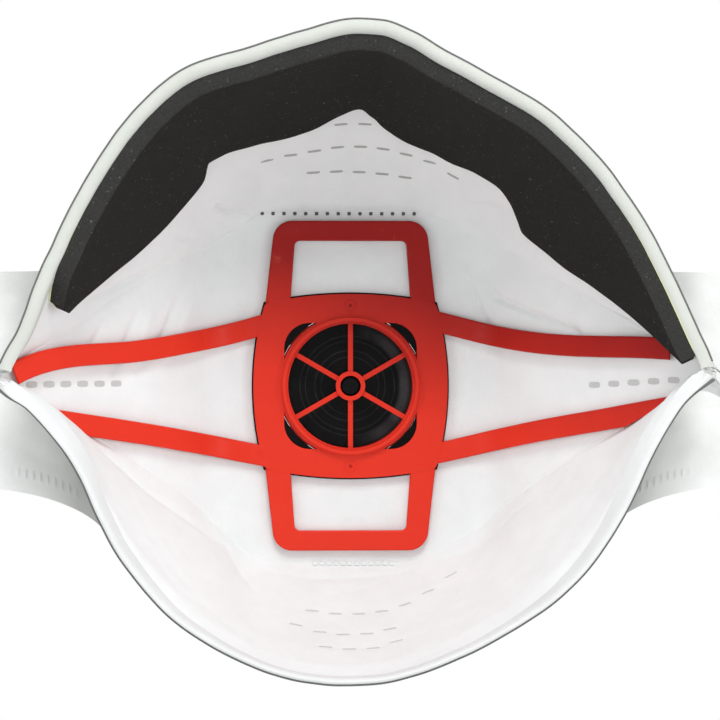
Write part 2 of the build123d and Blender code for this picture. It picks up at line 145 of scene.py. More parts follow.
def plan(x, layer):
    """Plan position of the front's skin: flat front, rounded bends and straight flanks."""
    tangent = BEND_R * math.tan(FLANK / 2)
    bend_start = BEND_X - tangent
    bend_end = BEND_X + tangent * math.cos(FLANK)
    across = np.abs(x)
    turn = np.where(across < bend_end, np.arcsin(np.clip((across - bend_start) / BEND_R, 0, 1)), FLANK)
    y = FRONT_Y - BEND_R * (1 - np.cos(turn)) - np.clip(across - bend_end, 0, None) * math.tan(FLANK)
    return x + np.sign(x) * np.sin(turn) * layer, y + np.cos(turn) * layer


def distance_to_line(points, line):
    """Each point's distance to a line of points, and how far along it the nearest place is, from 0 to 1."""
    line = np.array(line, float)
    best = np.full(points.shape[:-1], 1e9)
    along = np.zeros_like(best)
    for i, (start, end) in enumerate(zip(line[:-1], line[1:])):
        step = end - start
        t = np.clip(((points - start) @ step) / max(step @ step, 1e-9), 0, 1)
        distance = np.linalg.norm(points - start - t[..., None] * step, axis=-1)
        nearer = distance < best
        best = np.where(nearer, distance, best)
        along = np.where(nearer, (i + t) / (len(line) - 1), along)
    return best, along


def unevenness(points, size, seed):
    """Smooth random unevenness, mostly between -1 and 1, in waves about size mm long."""
    random = np.random.default_rng(seed)
    total = np.zeros(points.shape[:-1])
    waves = 16
    for _ in range(waves):
        direction = random.normal(size=3)
        direction /= np.linalg.norm(direction)
        length = size * random.uniform(0.7, 1.7)
        total += np.sin(points @ direction * (2 * math.pi / length) + random.uniform(0, 2 * math.pi))
    return total / math.sqrt(waves)


class Panel:
    """A fabric panel: point() gives its plain skin, and skin() adds its creases, dents and unevenness."""

    def __init__(self, creases=(), marks=(), ripple=0.12, seed=1):
        self.ripple = ripple
        self.seed = seed
        self.creases = []
        self.marks = []
        for line, depth, width in creases:
            self.creases.append((self.line(line), depth, width))
        for line in marks:
            self.marks.append(self.line(line))

    def line(self, places):
        """Places (x, share) on the lining's plain skin, as points."""
        return [self.point(np.array(x, float), np.array(share, float), 0.0) for x, share in places]

    def waves(self, points):
        """How far the skin's unevenness takes it out from its plain shape."""
        return self.ripple * (unevenness(points, 16, self.seed) + 0.3 * unevenness(points, 6, self.seed + 1))

    def relief(self, points):
        """How far unevenness, creases and weld dents take the skin out from its plain shape."""
        height = self.waves(points)
        for line, depth, width in self.creases:
            distance, along = distance_to_line(points, line)
            fade = np.sin(math.pi * np.clip(along, 0, 1)) ** 0.5
            height = height + depth * fade * np.exp(-np.sqrt((distance / width) ** 2 + 0.05))
        for line in self.marks:
            distance, _ = distance_to_line(points, line)
            height = height + MARK_DENT * np.exp(-((distance / MARK_DENT_R) ** 2))
        return height

    def smooth_skin(self, x, share, layer):
        """The skin without its creases and dents, for what is thick enough to bridge them."""
        x, share = np.broadcast_arrays(np.array(x, float), np.array(share, float))
        return self.point(x, share, layer + self.waves(self.point(x, share, 0.0)))

    def skin(self, x, share, layer):
        """The finished skin: plain shape, unevenness, creases and weld dents."""
        x, share = np.broadcast_arrays(np.array(x, float), np.array(share, float))
        return self.point(x, share, layer + self.relief(self.point(x, share, 0.0)))


class EdgePanel(Panel):
    """The upper panel (side 1) or the lower one (side -1), bowed from its seam on the front to its rim."""

    def __init__(self, side, rim, seam, crown, squeeze, **finish):
        self.side = side
        self.squeeze = squeeze  # how far the layers are pressed together at the rim, from 0 to 1
        self.rim = smooth_curve(rim)
        self.seam = smooth_curve(seam)
        self.crown = smooth_curve(crown)
        super().__init__(**finish)

    def outward(self, x):
        """Unit normal of the rim's outline in the front view."""
        low, high = np.clip(x - 0.4, -PINCH_X, PINCH_X), np.clip(x + 0.4, -PINCH_X, PINCH_X)
        slope = (self.rim(high) - self.rim(low)) / (high - low)
        length = np.sqrt(1 + slope**2)
        return -slope * self.side / length, self.side / length

    def depth(self, x):
        """Length of the panel at x, from seam to rim."""
        return np.hypot(plan(x, 0.0)[1], self.rim(x) - self.seam(x)) + 1.0

    def point(self, x, share, layer):
        pressed = np.clip((share - PRESS_START) / PRESS_SPAN, 0, 1)
        layer = layer + (SHELL - layer) * self.squeeze * pressed**2 * (3 - 2 * pressed)
        seam_x, seam_y = plan(x, layer)
        seam_z = self.seam(x) + self.side * (0.1 + 0.3 * layer)
        out_x, out_z = self.outward(x)
        rim_x = x + out_x * (layer - SHELL)
        rim_z = self.rim(x) + out_z * (layer - SHELL)
        crown = self.crown(x)
        middle_x = (seam_x + rim_x) / 2
        middle_y = seam_y / 2 + 1.2 * crown
        middle_z = (seam_z + rim_z) / 2 + 1.6 * crown * self.side
        weights = ((1 - share) ** 2, 2 * share * (1 - share), share**2)
        curve = [
            weights[0] * start + weights[1] * middle + weights[2] * end
            for start, middle, end in (
                (seam_x, middle_x, rim_x), (seam_y, middle_y, 0 * rim_x), (seam_z, middle_z, rim_z),
            )
        ]
        return np.stack(curve, axis=-1)


class FrontPanel(Panel):
    """The centre panel, from the lower seam (share 0) to the upper one (share 1)."""

    def __init__(self, lower, upper, **finish):
        self.lower = smooth_curve(lower)
        self.upper = smooth_curve(upper)
        super().__init__(**finish)

    def share_at(self, x, z):
        """The share at height z."""
        return (z - self.lower(x)) / (self.upper(x) - self.lower(x))

    def point(self, x, share, layer):
        px, py = plan(x, layer)
        return np.stack([px, py, self.lower(x) + share * (self.upper(x) - self.lower(x)) + 0 * py], axis=-1)


# ---------------------------------------------------------------- meshes


def signed_volume(points, faces):
    """Six times the volume that the faces enclose, negative where they are inside out."""
    total = 0.0
    for size in {len(face) for face in faces}:
        corners = np.array([face for face in faces if len(face) == size])
        first = points[corners[:, 0]]
        for k in range(1, corners.shape[1] - 1):
            total += np.einsum("ij,ij->", first, np.cross(points[corners[:, k]], points[corners[:, k + 1]]))
    return total


def add_piece(name, points, faces, material, body="root", slot=None, replaces=(), sharp=45):
    """A mesh object from points in millimetres, with its faces turned outwards, riding on a body."""
    points = np.asarray(points, float).reshape(-1, 3)
    used = np.zeros(len(points), bool)
    for face in faces:
        used[list(face)] = True
    places = np.cumsum(used) - 1
    points = points[used]
    faces = [[int(places[corner]) for corner in face] for face in faces]
    if signed_volume(points - points.mean(axis=0), faces) < 0:
        faces = [face[::-1] for face in faces]
    mesh = bpy.data.meshes.new(name)
    mesh.from_pydata((points * MM).tolist(), [], faces)
    mesh.update()
    mesh.shade_smooth()
    mesh.set_sharp_from_angle(angle=math.radians(sharp))
    piece = bpy.data.objects.new(name, mesh)
    bpy.context.scene.collection.objects.link(piece)
    mesh.materials.append(material)
    if body:
        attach(piece, body)
    if replaces:
        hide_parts(*replaces)
    return piece


def shell_faces(keep):
    """Faces of a closed sheet between two grids of points, walled along every open edge of the kept cells."""
    rows, columns = keep.shape[0] + 1, keep.shape[1] + 1
    index = np.arange(rows * columns).reshape(rows, columns)
    behind = rows * columns
    cells = np.stack([index[:-1, :-1], index[1:, :-1], index[1:, 1:], index[:-1, 1:]], axis=-1)
    faces = [cells[keep], cells[keep][:, ::-1] + behind]
    around = np.pad(keep, 1)
    for side, (di, dj) in enumerate(((0, -1), (1, 0), (0, 1), (-1, 0))):
        beyond = around[1 + di : rows + di, 1 + dj : columns + dj]
        walled = cells[keep & ~beyond]
        start, end = walled[:, side], walled[:, (side + 1) % 4]
        faces.append(np.stack([end, start, start + behind, end + behind], axis=-1))
    return np.concatenate(faces).tolist()


def shell(name, inner, outer, material, keep=None, **facts):
    """A closed sheet between an inner and an outer grid of points."""
    if keep is None:
        keep = np.ones((inner.shape[0] - 1, inner.shape[1] - 1), bool)
    points = np.concatenate([inner.reshape(-1, 3), outer.reshape(-1, 3)])
    return add_piece(name, points, shell_faces(keep), material, **facts)


def swept_faces(count, ring, start=0):
    """Faces of a closed tube of rings of points, capped at both ends."""
    index = start + np.arange(count * ring).reshape(count, ring)
    turned = np.roll(index, -1, axis=1)
    quads = np.stack([index[:-1], turned[:-1], turned[1:], index[1:]], axis=-1).reshape(-1, 4).tolist()
    return quads + [index[0][::-1].tolist(), index[-1].tolist()]


def swept(name, rings, material, **facts):
    """A closed tube through rings of points, given as rings by points by 3."""
    return add_piece(name, rings, swept_faces(*rings.shape[:2]), material, **facts)


# ---------------------------------------------------------------- materials


def add_node(tree, kind, **settings):
    """A shader node with its properties and inputs set; an input's name has underscores for spaces."""
    node = tree.nodes.new("ShaderNode" + kind)
    for key, value in settings.items():
        name = key.replace("_", " ")
        if hasattr(node, key):
            setattr(node, key, value)
        elif hasattr(value, "is_output"):
            tree.links.new(value, node.inputs[name])
        else:
            node.inputs[name].default_value = value
    return node


def new_material(name, **values):
    """A material with one Principled shader, its sockets set to the given values."""
    material = bpy.data.materials.new(name)
    material.use_nodes = True
    tree = material.node_tree
    shader = next(node for node in tree.nodes if node.type == "BSDF_PRINCIPLED")
    for key, value in values.items():
        shader.inputs[key.replace("_", " ")].default_value = value
    place = add_node(tree, "TexCoord").outputs["Object"]
    return material, tree, shader, place


def noise(tree, place, size, detail=4.0, roughness=0.6, stretch=None, turn=(0, 0, 0)):
    """Noise with features about size mm across, drawn out along an axis by stretch."""
    vector = place
    if stretch:
        vector = add_node(tree, "Mapping", Vector=place, Scale=stretch, Rotation=turn).outputs["Vector"]
    scale = 1 / (size * MM)
    texture = add_node(tree, "TexNoise", Vector=vector, Scale=scale, Detail=detail, Roughness=roughness)
    return texture.outputs["Fac"]


def spread(tree, value, low, high, to_low=0.0, to_high=1.0):
    """A value rescaled from one range to another and clamped to it."""
    node = add_node(tree, "MapRange", Value=value, From_Min=low, From_Max=high, To_Min=to_low, To_Max=to_high)
    return node.outputs["Result"]


def maths(tree, operation, first, second):
    """A Math node of the given operation on two values, each a number or another node's output."""
    node = tree.nodes.new("ShaderNodeMath")
    node.operation = operation
    for socket, value in zip(node.inputs, (first, second)):
        if hasattr(value, "is_output"):
            tree.links.new(value, socket)
        else:
            socket.default_value = value
    return node.outputs["Value"]


def mix_colours(tree, factor, first, second):
    """The first colour where factor is 0 and the second where it is 1."""
    node = tree.nodes.new("ShaderNodeMix")
    node.data_type = "RGBA"
    tree.links.new(factor, node.inputs["Factor"])
    for socket, value in zip([i for i in node.inputs if i.type == "RGBA"], (first, second)):
        if hasattr(value, "is_output"):
            tree.links.new(value, socket)
        else:
            socket.default_value = (*value, 1.0)
    return next(o for o in node.outputs if o.type == "RGBA")


def bump(tree, shader, *layers):
    """Chains bumps, each given as height, strength and distance in mm, into the shader's normal."""
    normal = None
    for height, strength, distance in layers:
        node = add_node(tree, "Bump", Height=height, Strength=strength, Distance=distance * MM)
        if normal is not None:
            tree.links.new(normal, node.inputs["Normal"])
        normal = node.outputs["Normal"]
    tree.links.new(normal, shader.inputs["Normal"])


# How each of the three families of fibres is turned, and how its noise is drawn out
FIBRE_FAMILIES = (
    ((0.2, 0.3, 0.5), (1, 1, 0.12)),
    ((1.2, 0.4, 2.1), (0.12, 1, 1)),
    ((0.5, 2.0, 1.1), (1, 0.12, 1)),
)


def fibres(tree, place, size):
    """Crossing fine fibres: thin ridges of noise drawn out in three directions."""
    strands = []
    for turn, drawn in FIBRE_FAMILIES:
        field = noise(tree, place, size, detail=1.5, stretch=drawn, turn=turn)
        centred = maths(tree, "ABSOLUTE", maths(tree, "SUBTRACT", field, 0.5), 0.0)
        strands.append(spread(tree, centred, 0.0, 0.09, 1.0, 0.0))
    return maths(tree, "MAXIMUM", maths(tree, "MAXIMUM", strands[0], strands[1]), strands[2])


def non_woven(name, light, dark, fibre=0.35, depth=0.035, pressed=None):
    """Spun-bonded polypropylene: white fibres pressed into a soft felt with cloudy thin and thick places.

    pressed gives two distances from the mask's middle, in mm, between which a greyer band of painted shade
    near the body fades out.
    """
    material, tree, shader, place = new_material(
        name, Roughness=0.82, Sheen_Weight=0.12, Sheen_Roughness=0.5,
    )
    shader.inputs["Specular IOR Level"].default_value = 0.3
    clouds = noise(tree, place, 7.0, detail=3.0)
    strands = fibres(tree, place, fibre)
    cloudy = spread(tree, clouds, 0.35, 0.65, 0.75, 1.0)
    felt = maths(tree, "MULTIPLY", cloudy, spread(tree, strands, 0, 1, 0.8, 1.0))
    colour = mix_colours(tree, felt, dark, light)
    if pressed:
        # Painted shade: the fabric greys towards the mask's middle, where the rim and the pinch shade the
        # wing.
        sideways = add_node(tree, "SeparateXYZ", Vector=place).outputs["X"]
        out_of_painted_shade = spread(tree, maths(tree, "ABSOLUTE", sideways, 0.0), pressed[0] * MM, pressed[1] * MM)
        colour = mix_colours(tree, out_of_painted_shade, [0.62 * value for value in dark], colour)
    tree.links.new(colour, shader.inputs["Base Color"])
    tree.links.new(spread(tree, clouds, 0.3, 0.7, 0.74, 0.9), shader.inputs["Roughness"])
    bump(tree, shader, (noise(tree, place, 1.6, detail=5.0), 0.5, 0.1), (strands, 0.35, depth))
    return material


def fused_fabric(name, dark, light):
    """Where the layers are welded together: flatter, greyer and a little glossy, like pressed film."""
    material, tree, shader, place = new_material(name, Roughness=0.45)
    speckle = noise(tree, place, 0.5, detail=3.0)
    tree.links.new(mix_colours(tree, speckle, dark, light), shader.inputs["Base Color"])
    tree.links.new(spread(tree, speckle, 0.3, 0.7, 0.35, 0.55), shader.inputs["Roughness"])
    bump(tree, shader, (speckle, 0.3, 0.05))
    return material


def foam_material(name, tones, pore, speck):
    """Charcoal closed-cell foam: fine pores, a few light specks and a faintly mottled tone."""
    material, tree, shader, place = new_material(name, Roughness=0.95)
    shader.inputs["Specular IOR Level"].default_value = 0.12
    cells = add_node(tree, "TexVoronoi", Vector=place, Scale=1 / (0.42 * MM)).outputs["Distance"]
    mottle = noise(tree, place, 5.0, detail=4.0)
    pores = spread(tree, cells, 0.1, 0.6)
    tone = mix_colours(tree, mottle, *tones)
    lifted = mix_colours(tree, maths(tree, "MULTIPLY", pores, 0.35), tone, pore)
    specks = spread(tree, noise(tree, place, 0.6, detail=2.0), 0.68, 0.74)
    tree.links.new(mix_colours(tree, specks, lifted, speck), shader.inputs["Base Color"])
    tree.links.new(spread(tree, mottle, 0.3, 0.7, 0.88, 1.0), shader.inputs["Roughness"])
    bump(tree, shader, (noise(tree, place, 2.5, detail=4.0), 0.5, 0.25), (cells, 0.6, 0.12))
    return material


def red_plastic():
    """Red moulded polypropylene: satin, frosted in patches where it was flexed, with painted shade making it
    deeper towards the top.
    """
    material, tree, shader, place = new_material("red_plastic", Roughness=0.38)
    shader.inputs["Specular IOR Level"].default_value = 0.16
    shader.inputs["Subsurface Weight"].default_value = 0.12
    shader.inputs["Subsurface Radius"].default_value = (0.0012, 0.0003, 0.0002)
    # Painted shade: the red darkens towards the top and right, where the upper panel shades the frame, and
    # lightens towards the lower left.
    axes = add_node(tree, "SeparateXYZ", Vector=place)
    height = maths(tree, "ADD", axes.outputs["Z"], maths(tree, "MULTIPLY", axes.outputs["X"], 0.3))
    wander = maths(tree, "MULTIPLY", noise(tree, place, 14.0, detail=2.0), 8 * MM)
    painted_shade_fade = spread(tree, maths(tree, "ADD", height, wander), 0.0, 26 * MM, 1.0, 0.0)
    frost = spread(tree, noise(tree, place, 9.0, detail=6.0, roughness=0.75), 0.62, 0.72)
    grain = noise(tree, place, 0.18, detail=2.0)
    frosted = maths(tree, "MULTIPLY", frost, spread(tree, grain, 0.45, 0.62))
    body = mix_colours(tree, painted_shade_fade, (0.32, 0.008, 0.006), (0.70, 0.03, 0.012))
    pale = mix_colours(tree, maths(tree, "MULTIPLY", frosted, 0.35), body, (0.85, 0.25, 0.16))
    tree.links.new(pale, shader.inputs["Base Color"])
    scuffs = noise(tree, place, 0.9, detail=4.0, stretch=(0.12, 1, 1), turn=(0, 0.3, 0))
    tree.links.new(spread(tree, scuffs, 0.3, 0.75, 0.32, 0.52), shader.inputs["Roughness"])
    bump(tree, shader, (noise(tree, place, 6.0, detail=2.0), 0.25, 0.15), (grain, 0.12, 0.02))
    return material


DISC_CENTRE = (VALVE_CENTRE[0], VALVE_CENTRE[2])
DISC_RINGS = (10.75, 9.65, 7.6, 6.2)  # radii of the pale lines where the disc's grooves catch the light


def black_rubber():
    """Glossy black silicone disc with dust-fine scratches, and pale ring lines and a grey patch round one
    side painted on as highlights.
    """
    material, tree, shader, place = new_material("black_rubber", Roughness=0.25)
    shader.inputs["Specular IOR Level"].default_value = 0.05
    cloud = noise(tree, place, 5.0, detail=4.0)
    body = mix_colours(tree, cloud, (0.002, 0.002, 0.0025), (0.006, 0.006, 0.007))
    axes = add_node(tree, "SeparateXYZ", Vector=place)
    offsets = [
        maths(tree, "SUBTRACT", axes.outputs[axis], centre * MM) for axis, centre in zip("XZ", DISC_CENTRE)
    ]
    squares = [maths(tree, "POWER", maths(tree, "ABSOLUTE", offset, 0.0), 2.0) for offset in offsets]
    radius = maths(tree, "SQRT", maths(tree, "ADD", *squares), 0.0)
    # Painted highlight: a grey crescent on the disc's rim towards +X, and pale lines on the grooves, lighten
    # the black.
    beyond = spread(tree, radius, 10.4 * MM, 11.2 * MM)
    within = spread(tree, radius, 13.4 * MM, 12.4 * MM)
    rim = maths(tree, "MULTIPLY", beyond, within)
    painted_highlight = maths(tree, "MULTIPLY", rim, spread(tree, offsets[0], 1 * MM, 10 * MM))
    for ring in DISC_RINGS:
        distance = maths(tree, "ABSOLUTE", maths(tree, "SUBTRACT", radius, ring * MM), 0.0)
        painted_highlight = maths(tree, "MAXIMUM", painted_highlight, spread(tree, distance, 0.05 * MM, 0.22 * MM, 0.35, 0.0))
    patchy_highlight = maths(tree, "MULTIPLY", painted_highlight, spread(tree, cloud, 0.3, 0.65, 0.35, 1.0))
    tree.links.new(mix_colours(tree, patchy_highlight, body, (0.05, 0.052, 0.055)), shader.inputs["Base Color"])
    dust = noise(tree, place, 0.6, detail=5.0, roughness=0.7)
    tree.links.new(spread(tree, dust, 0.35, 0.7, 0.14, 0.34), shader.inputs["Roughness"])
    bump(tree, shader, (noise(tree, place, 9.0, detail=1.0), 0.35, 0.2))
    return material


def moulded_plastic(name, dark, light, gloss=0.42):
    """Moulded plastic with a fine spark-eroded grain and softly varied gloss."""
    material, tree, shader, place = new_material(name, Roughness=gloss)
    grain = noise(tree, place, 0.3, detail=3.0)
    cloud = noise(tree, place, 8.0, detail=3.0)
    tree.links.new(mix_colours(tree, cloud, dark, light), shader.inputs["Base Color"])
    tree.links.new(spread(tree, cloud, 0.3, 0.7, gloss - 0.06, gloss + 0.1), shader.inputs["Roughness"])
    bump(tree, shader, (grain, 0.25, 0.03))
    return material


def brushed_metal(name, dark, light, rough=0.35, stretch=(0.05, 1, 1)):
    """Thin rolled metal with drawn-out rolling lines."""
    material, tree, shader, place = new_material(name, Metallic=1.0, Roughness=rough)
    lines = noise(tree, place, 0.35, detail=4.0, stretch=stretch)
    tree.links.new(mix_colours(tree, lines, dark, light), shader.inputs["Base Color"])
    tree.links.new(spread(tree, lines, 0.3, 0.7, rough - 0.08, rough + 0.15), shader.inputs["Roughness"])
    bump(tree, shader, (lines, 0.15, 0.02))
    return material


def elastic_webbing():
    """Knitted elastic: rubber ribs along its length, crossed by fine wrapped yarn."""
    material, tree, shader, place = new_material("elastic_webbing", Roughness=0.75, Sheen_Weight=0.2)
    yarn = noise(tree, place, 0.45, detail=3.0, stretch=(1, 1, 0.35))
    tone = noise(tree, place, 6.0, detail=3.0)
    wrapped = mix_colours(tree, yarn, (0.60, 0.60, 0.57), (0.84, 0.84, 0.80))
    yellowed = spread(tree, tone, 0.3, 0.7, 0.0, 0.25)
    tree.links.new(mix_colours(tree, yellowed, wrapped, (0.70, 0.69, 0.64)), shader.inputs["Base Color"])
    tree.links.new(spread(tree, yarn, 0.3, 0.7, 0.65, 0.85), shader.inputs["Roughness"])
    bump(tree, shader, (yarn, 0.6, 0.12))
    return material


fabric_inside = non_woven("lining_fabric", (0.79, 0.81, 0.81), (0.66, 0.68, 0.68))
fabric_outside = non_woven("cover_fabric", (0.82, 0.82, 0.81), (0.70, 0.70, 0.69), fibre=0.45, depth=0.05)
fabric_filter = non_woven("filter_fabric", (0.78, 0.79, 0.80), (0.62, 0.63, 0.65), fibre=0.2, depth=0.03)
# Painted shade: the upper rim band is a much greyer copy of the fabric, which holds back the strong light
# from above on the rim.
fabric_band_painted_shade = non_woven("band_fabric", (0.56, 0.58, 0.54), (0.46, 0.48, 0.44), fibre=0.3, depth=0.02)
# Painted shade: a darker copy of the lining fabric, so that the lower rim's roll does not show as a bright
# band.
fabric_rolled_painted_shade = non_woven(
    "rolled_lining_painted_shade", (0.69, 0.70, 0.70), (0.58, 0.59, 0.59), fibre=0.3, depth=0.02,
)
# Painted shade on the wings: greyer near the body, fading out between 55 and 71 mm from the middle.
fabric_wing = non_woven("wing_fabric", (0.77, 0.78, 0.77), (0.64, 0.65, 0.63), fibre=0.45, pressed=(55, 71))
fused = fused_fabric("fused_fabric", (0.30, 0.31, 0.30), (0.42, 0.43, 0.42))
fused_light = fused_fabric("fused_lining", (0.44, 0.45, 0.44), (0.56, 0.57, 0.56))
# Painted shade: a near-black fused-fabric finish for the dark line along each rim's outer edge.
rim_line_shade = fused_fabric("rim_outline_painted_shade", (0.08, 0.085, 0.08), (0.16, 0.165, 0.16))
# Painted shade: near-black patches that stand for the shade inside the upper seam's pinholes.
pinhole_painted_shade = fused_fabric("seam_pinhole_painted_shade", (0.05, 0.05, 0.05), (0.10, 0.10, 0.10))
# Painted shade and light: the foam's face is darkened because it turns downwards, and its cut edge is a
# lighter copy for the edge that catches the lamps.
foam = foam_material(
    "foam_face_painted_shade", ((0.009, 0.009, 0.0087), (0.019, 0.0188, 0.0180)),
    (0.03, 0.0296, 0.0283), (0.10, 0.10, 0.096),
)
foam_lit_cut_edge = foam_material(
    "foam_cut_edge_painted_light", ((0.016, 0.016, 0.0153), (0.03, 0.0296, 0.028)),
    (0.05, 0.049, 0.047), (0.12, 0.12, 0.115),
)
red = red_plastic()
rubber = black_rubber()
black = moulded_plastic("black_plastic", (0.012, 0.012, 0.013), (0.02, 0.02, 0.021))
tape = moulded_plastic("adhesive_tape", (0.62, 0.64, 0.30), (0.74, 0.76, 0.42), gloss=0.3)
aluminium = brushed_metal("aluminium", (0.55, 0.56, 0.57), (0.72, 0.73, 0.74))
steel = brushed_metal(
    "staple_steel", (0.42, 0.42, 0.43), (0.62, 0.62, 0.63), rough=0.25, stretch=(1, 0.05, 1),
)
elastic = elastic_webbing()


# ---------------------------------------------------------------- fabric panels

MARK_DENT = 0.16  # how deep, and how wide, a weld mark pulls the fabric in
MARK_DENT_R = 1.1


DASH_PITCH = 4.95
DASH_HALF = 1.1


def dash_row(first, count, share_at, pitch=DASH_PITCH):
    """Short weld lines across an edge panel at even steps, from the middle of the first one."""
    xs = [first + pitch * i for i in range(count)]
    return [((x - DASH_HALF, share_at(x)), (x + DASH_HALF, share_at(x))) for x in xs]


upper_dashes = dash_row(-18, 9, lambda x: 0.29 - 0.00008 * x * x)
upper_dashes += dash_row(-8.2, 5, lambda x: 0.172 - 0.0007 * x)
upper_dashes += dash_row(-2.6, 2, lambda x: 0.405, pitch=5.2)
lower_dashes = dash_row(-8.5, 7, lambda x: 0.33 - 0.00025 * x * x)
lower_dashes += dash_row(-12, 5, lambda x: 0.50 - 0.0004 * x * x)
lower_dashes += dash_row(-6, 4, lambda x: 0.645 - 0.0005 * x * x)

# Creases and folds: a line of places (x, share), how far the fabric is pushed outwards, and how wide it is
UPPER_CREASES = (
    (((-21, 0.02), (-26, 0.10), (-29, 0.17)), 1.3, 0.45),
    (((-33, 0.06), (-37, 0.14)), 0.8, 0.6),
    (((-38, 0.02), (-46, 0.05), (-54, 0.12)), 1.0, 0.7),
    (((20, 0.05), (27, 0.16), (33, 0.22)), 0.9, 0.8),
    (((-6, 0.06), (-9, 0.3), (-10, 0.44)), -0.35, 2.4),
    (((10, 0.05), (13, 0.22), (16, 0.36)), -0.35, 2.6),
)
LOWER_CREASES = (
    (((-52, 0.14), (-43, 0.17), (-36, 0.15), (-26, 0.06)), 1.0, 1.3),
    (((-27, 0.05), (-24, 0.16), (-20, 0.26)), 0.7, 1.2),
    (((-20, 0.07), (-8, 0.09), (4, 0.08), (14, 0.06)), 0.45, 1.0),
    (((-6, 0.20), (0, 0.17), (7, 0.11)), 0.4, 1.2),
    (((10, 0.05), (10.5, 0.16), (10, 0.27)), 0.35, 1.4),
    (((18, 0.04), (24, 0.10), (34, 0.10), (44, 0.12)), 0.6, 1.4),
)
FRONT_CREASES = (
    (((-36, 0.86), (-39, 0.70), (-45, 0.50)), 1.0, 0.9),
    (((-33, 0.84), (-36.5, 0.66), (-41, 0.52)), -0.5, 1.0),
    (((-44, 0.88), (-47, 0.66), (-49.5, 0.48)), 1.0, 0.9),
    (((-41.5, 0.86), (-44, 0.66)), -0.5, 1.0),
    (((-51, 0.88), (-54.5, 0.62)), 0.8, 0.9),
    (((28.5, 0.90), (31, 0.81), (38, 0.78), (47, 0.75)), 1.4, 0.6),
    (((23.6, 0.92), (27, 0.78), (32, 0.60)), 1.2, 0.7),
    (((25, 0.90), (28.6, 0.76), (33.4, 0.60)), -0.6, 0.8),
    (((42, 0.88), (47, 0.70), (50, 0.60)), 0.5, 1.0),
    (((-24, 0.75), (-21.5, 0.72)), 0.6, 0.8),
)

upper = EdgePanel(
    1, UPPER_RIM, UPPER_SEAM, UPPER_CROWN, squeeze=0.0, creases=UPPER_CREASES, marks=upper_dashes, seed=3,
)
lower = EdgePanel(
    -1, LOWER_RIM, LOWER_SEAM, LOWER_CROWN, squeeze=0.5, creases=LOWER_CREASES, marks=lower_dashes, seed=8,
)
front = FrontPanel(LOWER_SEAM, UPPER_SEAM, creases=FRONT_CREASES, seed=15)

SIDE_WELD_HALF = 1.0
side_welds = [(-64 + 3.1 * i, -1.9) for i in range(6)]
side_welds += [(49.3 + 3.44 * i, -2.2 + 0.28 * i) for i in range(6)]
front_weld_lines = [
    [(end, front.share_at(end, z)) for end in (x - SIDE_WELD_HALF, x + SIDE_WELD_HALF)] for x, z in side_welds
]
front.marks = [front.line(line) for line in front_weld_lines]


def stations(count, reach=PANEL_X):
    """Places from side to side, closer together towards the side welds."""
    u = np.linspace(-1, 1, count)
    return reach * (0.5 * u + 0.5 * np.sin(math.pi / 2 * u))


def panel_layer(panel, name, layers, material, slot, rim_share=1.0, step=0.62):
    """One fabric layer of a panel, with the round hole for the valve in the centre one."""
    is_front = isinstance(panel, FrontPanel)
    xs = stations(int(2 * PANEL_X / step * 1.25))
    shares = np.linspace(0, 1 if is_front else rim_share, int((75 if is_front else 62) / step))
    x, share = np.meshgrid(xs, shares, indexing="ij")
    keep = None
    if is_front:
        z = panel.point(x, share, 0.0)[..., 2] - VALVE_CENTRE[2]
        keep_point = np.hypot(x - VALVE_CENTRE[0], z) > FABRIC_HOLE_R
        keep = keep_point[:-1, :-1] & keep_point[1:, :-1] & keep_point[1:, 1:] & keep_point[:-1, 1:]
    inner, outer = (panel.skin(x, share, layer) for layer in layers)
    return shell(name, inner, outer, material, keep, slot=slot, replaces=[name])


for panel, place in ((upper, "upper"), (front, "centre"), (lower, "lower")):
    panel_layer(panel, f"{place}_inner_lining", LINING, fabric_inside, "lining_fabric")
    panel_layer(panel, f"{place}_filter_media", FILTER, fabric_filter, "filter_fabric", 0.985, step=1.5)
    panel_layer(panel, f"{place}_outer_cover", COVER, fabric_outside, "cover_fabric")


RIM_OUTSIDE = 2.3  # layer of a rim band's outer face


def rim_wrap(name, panel, inner_layer, legs, sink, material, node):
    """The band folded over a rim: a soft U from inner_layer(x) round to the outside, its legs down the panel.

    The end of the inner leg is pressed sink mm into the lining.
    """
    thick = 0.32
    xs = stations(260, PANEL_X + 0.3)
    low = inner_layer(xs)
    turns = np.linspace(math.pi, 0, 15)
    sides = []
    for inset in (0.0, thick):
        centre, radius = (RIM_OUTSIDE + low[:, None]) / 2, (RIM_OUTSIDE - low[:, None]) / 2 - inset
        layer = np.hstack([centre - radius + sink, centre + radius * np.cos(turns), centre + radius])
        reach = np.hstack([legs[0] + 0 * centre, 0.72 - 0.85 * radius * np.sin(turns), legs[1] + 0 * centre])
        sides.append((layer, reach))
    layer = np.hstack([sides[0][0], sides[1][0][:, ::-1]])
    reach = np.hstack([sides[0][1], sides[1][1][:, ::-1]])
    x = xs[:, None] + 0 * layer
    rings = panel.skin(x, 1 - reach / panel.depth(x), layer)
    return swept(name, rings, material, slot="band_fabric", replaces=[node], sharp=60)


rolled_width = smooth_curve((
    (-70, 3.0), (-58, 3.4), (-45, 2.9), (-25, 2.66), (0, 2.62), (25, 2.66), (45, 2.9), (58, 3.4), (70, 3.0),
))
rim_wrap("upper_rim_band", upper, lambda x: -0.38 + 0 * x, (3.5, 5.0), 0.0, fabric_band_painted_shade, "upper_rim_band")
rim_wrap(
    "lower_rim_band", lower, lambda x: RIM_OUTSIDE - rolled_width(x), (3.4, 5.0), 0.6, fabric_rolled_painted_shade,
    "lower_rim_band",
)


